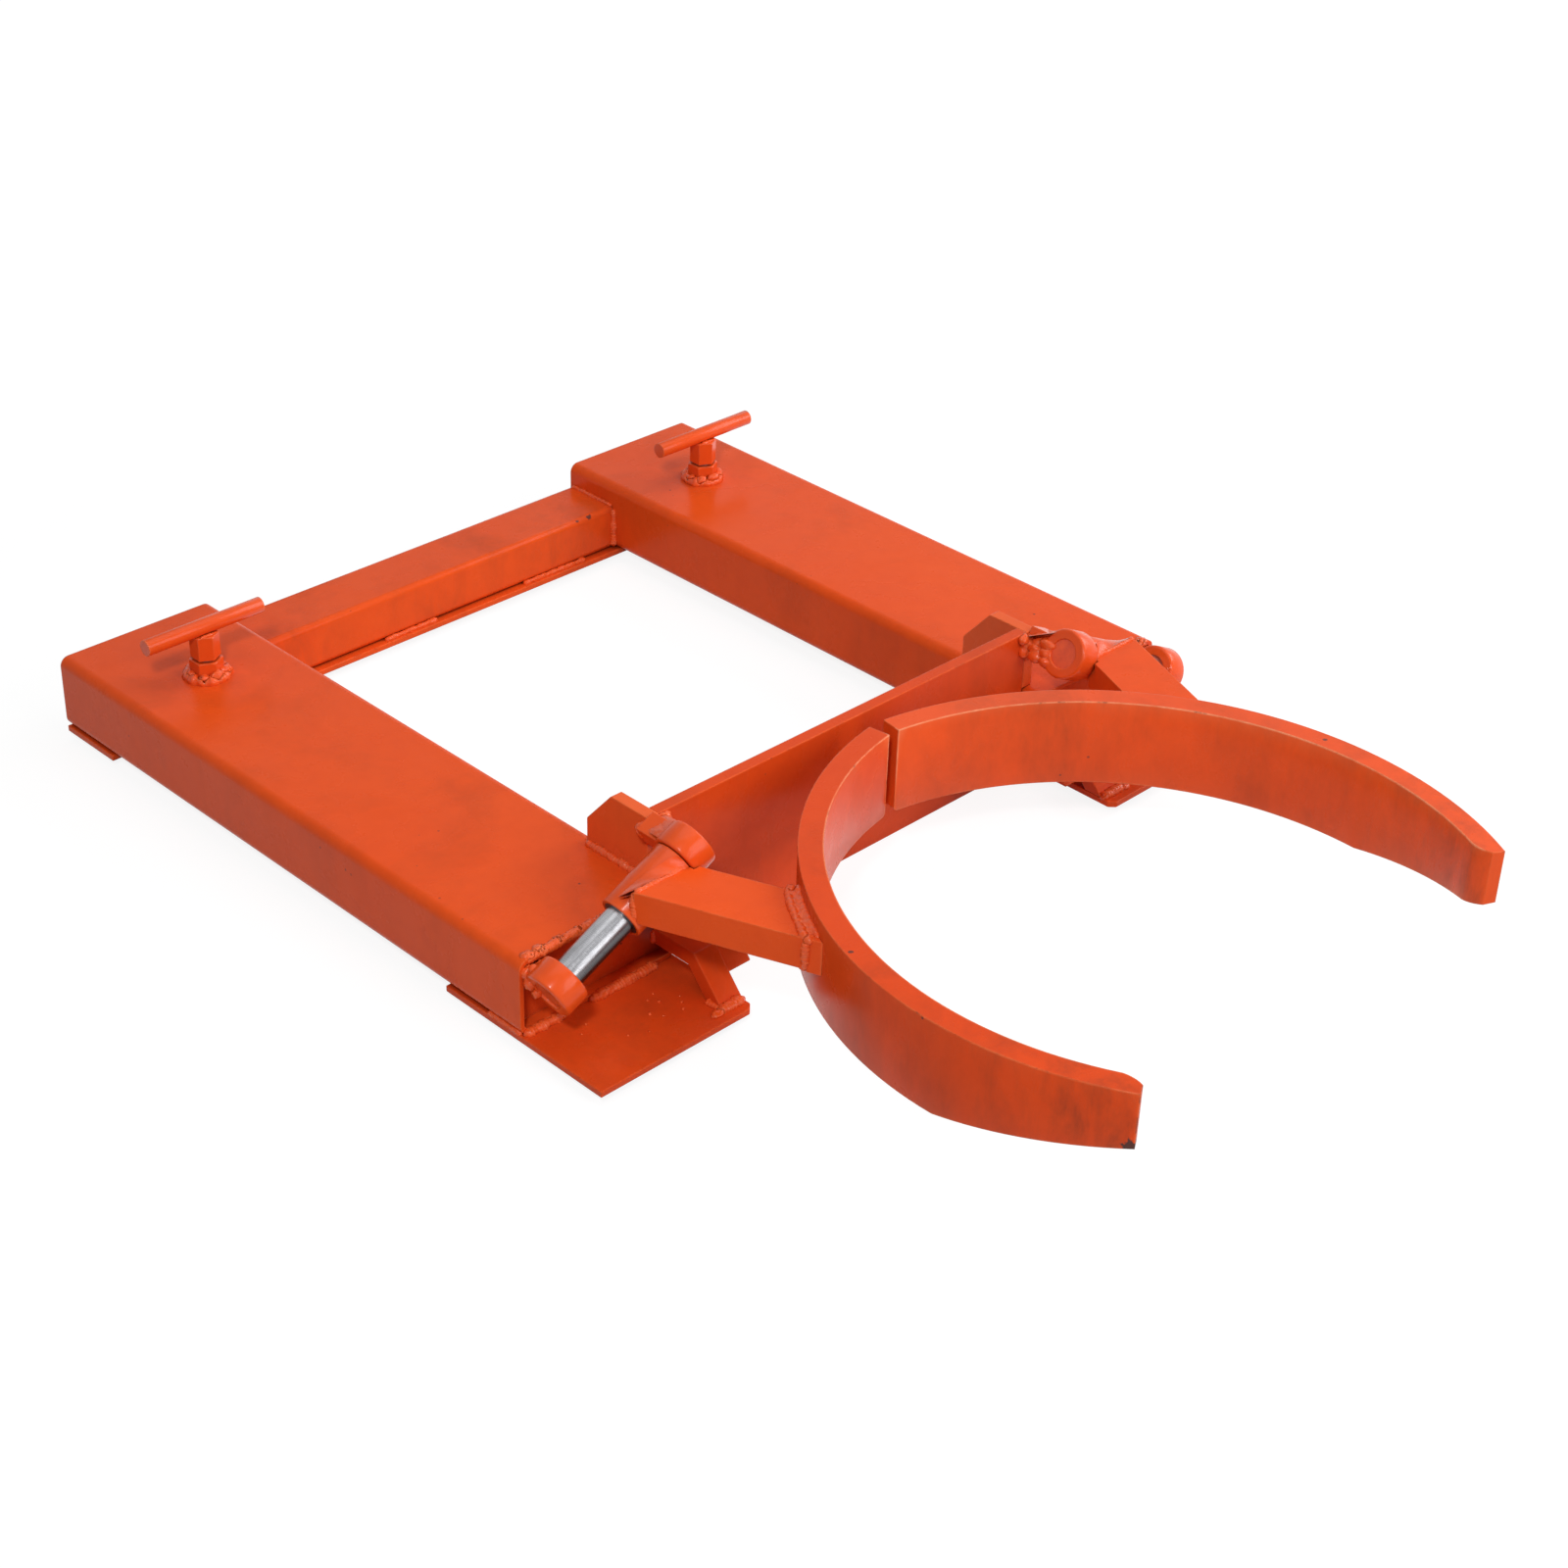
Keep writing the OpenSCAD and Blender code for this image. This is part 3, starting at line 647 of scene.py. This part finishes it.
    # arm bar on the pad, and pad on the jaw
    w = Weld(side + "_pad_weld", side + "_arm", seed + 800)
    near, rim = JAW_OUTER + PAD, JAW_OUTER + 1.2
    edges = [[at(p) for p in arc(near + 1.5, turn_in, turn_out, arm_hi.z - 0.5)],
             [at(p) for p in arc(rim, turn_in, turn_out, pad_hi.z + 0.5)]]
    w.sheet(*edges[::-k], 2.6)
    w.run([at(p) for p in arc(near + 0.8, turn_in, turn_out, arm_hi.z + 0.2)], 4.0, pitch=6.0)
    w.run([at(p) for p in arc(near + 0.8, turn_in, turn_out, arm_lo.z - 0.2)], 3.4)
    w.run([at(p) for p in arc(rim, turn_in + 0.008, turn_out - 0.008, pad_hi.z - 0.2)], 3.8,
          pitch=6.0)
    for turn, r0 in ((turn_out, 4.6), (turn_in, 3.6)):
        w.lump(at(around_jaw(near - 2.5, turn, arm_hi.z - 1)), (5.5, 5.5, 4.2))
        for radius, z0, z1 in ((near + 0.6, arm_lo.z + 1, arm_hi.z - 1),
                               (rim + 0.6, pad_lo.z + 2, pad_hi.z - 2)):
            w.run([at(around_jaw(radius, turn, z)) for z in (z0, z1)], r0)
    w.make()

# beam between the tubes, and strap under it
w = Weld("beam_weld", "frame", 500)
for k, side in SIDES:
    x = tube_lo.x * k - k * 0.4
    w.run([(x, beam_lo.y - 0.6, z) for z in (strap_hi.z + 2, beam_hi.z - 3)], 4.4)
    w.run([(x, y, beam_hi.z + 0.2) for y in (beam_lo.y + 3, beam_hi.y - 4)], 2.8)
for ends in ((-225, -195), (-80, -10), (110, 200)):
    w.run([(x, beam_lo.y - 0.8, strap_hi.z + 0.6) for x in ends], 3.0)
w.make()

# spatter on the base plates
DROPS = ((300, -70, 1.5), (306, -62, 1.1), (318, -78, 1.7), (296, -58, 1.0), (352, -88, 1.0),
         (335, -96, 0.9), (286, -84, 1.3), (281, -76, 0.9), (292, -92, 1.1), (311, -88, 0.8),
         (368, -52, 1.2), (380, -60, 0.9))
for k, side in SIDES:
    w = Weld(side + "_spatter", "frame", 900 + k)
    for x, y, r in DROPS:
        w.lump((x * k, y, base_top), (r, r, r * 0.8))
    w.make()


# ---------------------------------------------------------------- stage and light

WHITE = (1, 1, 1, 1)
FLOOR_PLAIN = (0.62, 0.62, 0.62, 1)
FLOOR_SHADED = (0.17, 0.17, 0.17, 1)
GLOW_NEAR, GLOW_FAR = 0.88, 1.0
FILL_COLOUR, FILL = (0.97, 0.98, 1.0, 1), 0.12
FLOOR_HALF = 9


def seen(n):
    """1 for rays from the camera, from a reflection and through glass, and 0 for the others."""
    path = n.node("LightPath").outputs
    return n.math("MAXIMUM", path["Is Camera Ray"],
                  n.math("MAXIMUM", path["Is Glossy Ray"], path["Is Transmission Ray"]))


def pale(name):
    """White where it is seen, apart from the shadows, and plain grey for the other rays."""
    n = Net(bpy.data.materials.new(name))
    plain = n.node("BsdfDiffuse", Color=FLOOR_PLAIN)
    shaded = n.node("BsdfDiffuse", Color=FLOOR_SHADED)
    strength = n.span(n.near((0, 0, 0), 2600, 1500), 0, 1, GLOW_FAR, GLOW_NEAR)
    glow = n.node("Emission", Color=WHITE, Strength=strength)
    white = n.node("AddShader", i0=shaded.outputs[0], i1=glow.outputs[0])
    return n.out(n.node("MixShader", i0=seen(n), i1=plain.outputs[0], i2=white.outputs[0]))


mesh = bpy.data.meshes.new("floor")
FLOOR_CORNERS = ((-1, -1), (1, -1), (1, 1), (-1, 1))
mesh.from_pydata([(x * FLOOR_HALF, y * FLOOR_HALF, 0) for x, y in FLOOR_CORNERS], [],
                 [(0, 1, 2, 3)])
mesh.materials.append(pale("floor_white"))
floor = bpy.data.objects.new("floor", mesh)
bpy.context.collection.objects.link(floor)

world = bpy.data.worlds.new("studio")
bpy.context.scene.world = world
n = Net(world)
fill = n.node("Background", Color=FILL_COLOUR, Strength=FILL)
white = n.node("Background", Color=WHITE, Strength=1.0)
both = n.node("MixShader", i0=seen(n), i1=fill.outputs[0], i2=white.outputs[0])
n.out(both, "OutputWorld")

# soft square lamps that shine on the object's middle: name, direction, distance, size, power
MIDDLE = Vector((0, 0.05, 0.05))
LAMPS = (
    ("key", (-0.589, -0.413, 0.695), 3.2, 0.30, 39),
    ("top", (0.10, 0.05, 1.0), 3.0, 2.6, 27),
    ("front", (0.15, -1.0, 0.55), 3.0, 1.8, 37),
    ("right", (1.0, -0.3, 0.6), 3.0, 1.8, 46))
for name, toward, distance, size, power in LAMPS:
    data = bpy.data.lights.new(name, "AREA")
    data.size = size
    data.energy = power
    obj = bpy.data.objects.new(name, data)
    bpy.context.collection.objects.link(obj)
    obj.location = MIDDLE + Vector(toward).normalized() * distance
    obj.rotation_euler = (MIDDLE - obj.location).to_track_quat("-Z", "Y").to_euler()

bpy.context.scene.view_settings.view_transform = "Standard"
